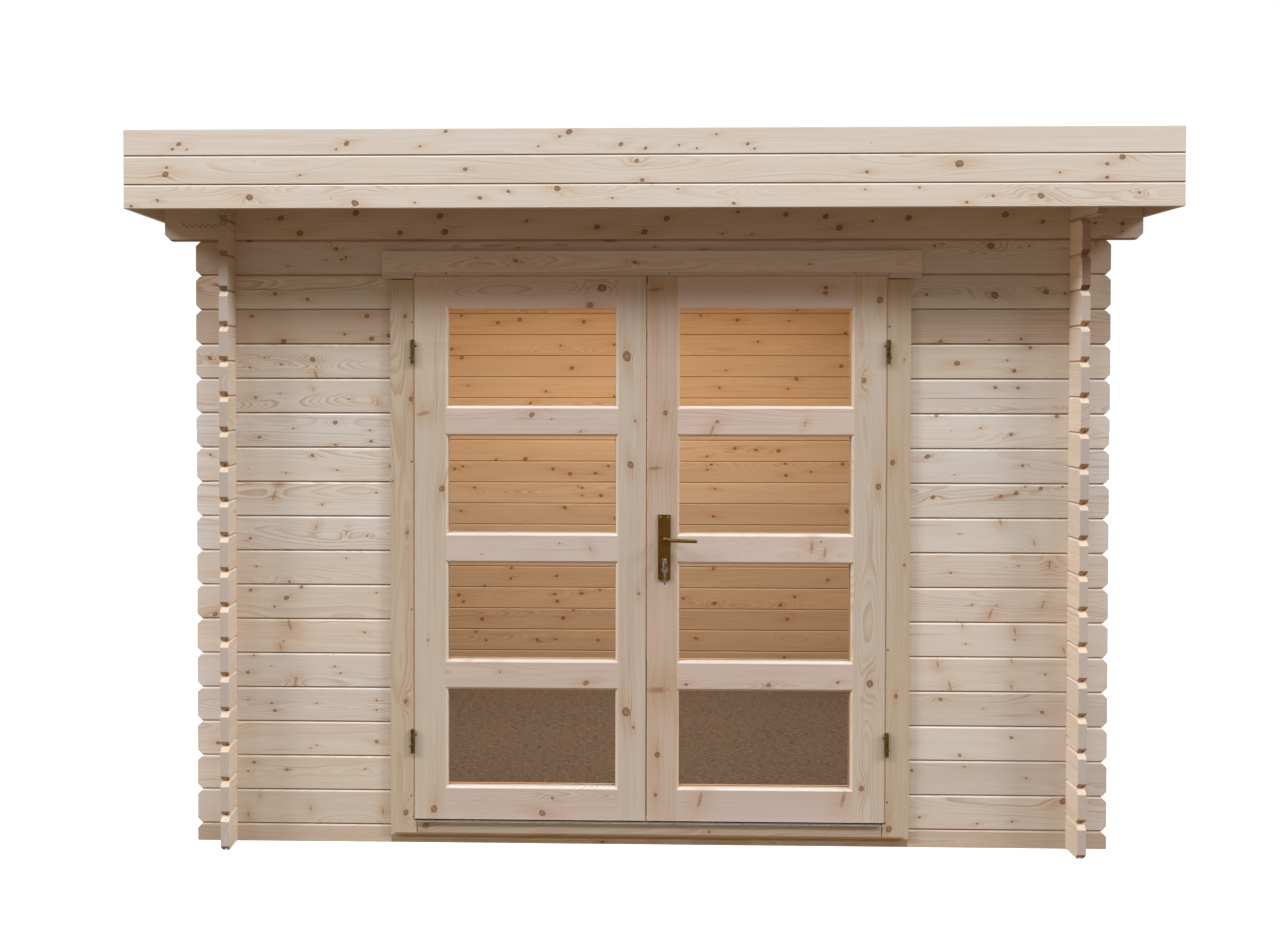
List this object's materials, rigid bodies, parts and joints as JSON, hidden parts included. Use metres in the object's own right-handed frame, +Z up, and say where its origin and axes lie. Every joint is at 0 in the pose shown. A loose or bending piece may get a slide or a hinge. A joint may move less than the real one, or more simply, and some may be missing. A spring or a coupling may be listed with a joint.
{
  "type": "flat roof garden house",
  "caption": "Garden house of notched spruce logs with a low sloping flat roof, boarded fascias and glazed double doors with a lever handle.",
  "frame": {"origin": "on the ground, at the middle between the outer faces of the four log walls", "axes": "+X to the right seen from the door side, +Y from the door wall to the rear wall, +Z up"},
  "size_m": [3.272, 3.263, 2.3165],
  "materials": {
    "log_spruce": "planed, untreated, with knots and visible grain",
    "planed_spruce": "planed, untreated, fine grain",
    "fascia_spruce": "planed, untreated, pale",
    "roof_spruce": "sawn, untreated",
    "floor_board": "brown, with dark flecks",
    "roof_felt": "matt, mineral granules",
    "pane_glass": "clear",
    "hinge_zinc": "yellow zinc plated",
    "threshold_metal": "mill finish",
    "bronze_fitting": "dark bronze, satin",
    "key_metal": "nickel plated"
  },
  "bodies": {
    "house": {"front_sill_log": "log_spruce", "front_wall_left": "log_spruce", "front_wall_right": "log_spruce", "front_wall_head": "log_spruce", "front_beam_lower": "log_spruce", "front_beam_upper": "log_spruce", "left_wall": "log_spruce", "right_wall": "log_spruce", "left_wall_top": "log_spruce", "right_wall_top": "log_spruce", "back_wall": "log_spruce", "back_beam": "log_spruce", "purlins": "roof_spruce", "roof_deck": "roof_spruce", "roof_felt": "roof_felt", "fascia_front": "fascia_spruce", "fascia_left": "fascia_spruce", "fascia_right": "fascia_spruce", "eaves_board": "fascia_spruce", "floor_sheet": "floor_board", "door_jambs": "planed_spruce", "door_head": "planed_spruce", "threshold": "planed_spruce", "threshold_plate": "threshold_metal", "door_casings": "planed_spruce", "door_header": "planed_spruce", "inner_casings": "planed_spruce", "inner_header": "planed_spruce", "frame_hinges": "hinge_zinc"},
    "left_leaf": {"left_leaf_frame": "planed_spruce", "left_leaf_glass": "pane_glass", "left_leaf_beads": "planed_spruce", "left_leaf_hinges": "hinge_zinc"},
    "right_leaf": {"right_leaf_frame": "planed_spruce", "right_leaf_glass": "pane_glass", "right_leaf_beads": "planed_spruce", "right_leaf_hinges": "hinge_zinc", "lock_plate_outside": "bronze_fitting", "lock_plate_inside": "bronze_fitting", "lock_cylinder": "key_metal", "keys": "key_metal"},
    "lever": {"lever_handles": "bronze_fitting"}
  },
  "joints": [
    {"name": "left_leaf_hinge", "type": "hinge", "parent": "house", "child": "left_leaf", "pos_m": [-0.777, -1.421, 1], "axis": [0, 0, -1], "range_deg": [0, 110]},
    {"name": "right_leaf_hinge", "type": "hinge", "parent": "house", "child": "right_leaf", "pos_m": [0.777, -1.421, 1], "axis": [0, 0, 1], "range_deg": [0, 110]},
    {"name": "lever_turn", "type": "hinge", "parent": "right_leaf", "child": "lever", "pos_m": [0.05, -1.4, 1.021], "axis": [0, 1, 0], "range_deg": [0, 40], "stiffness_Nm_per_rad": 1.5, "springref_deg": -17.19}
  ]
}
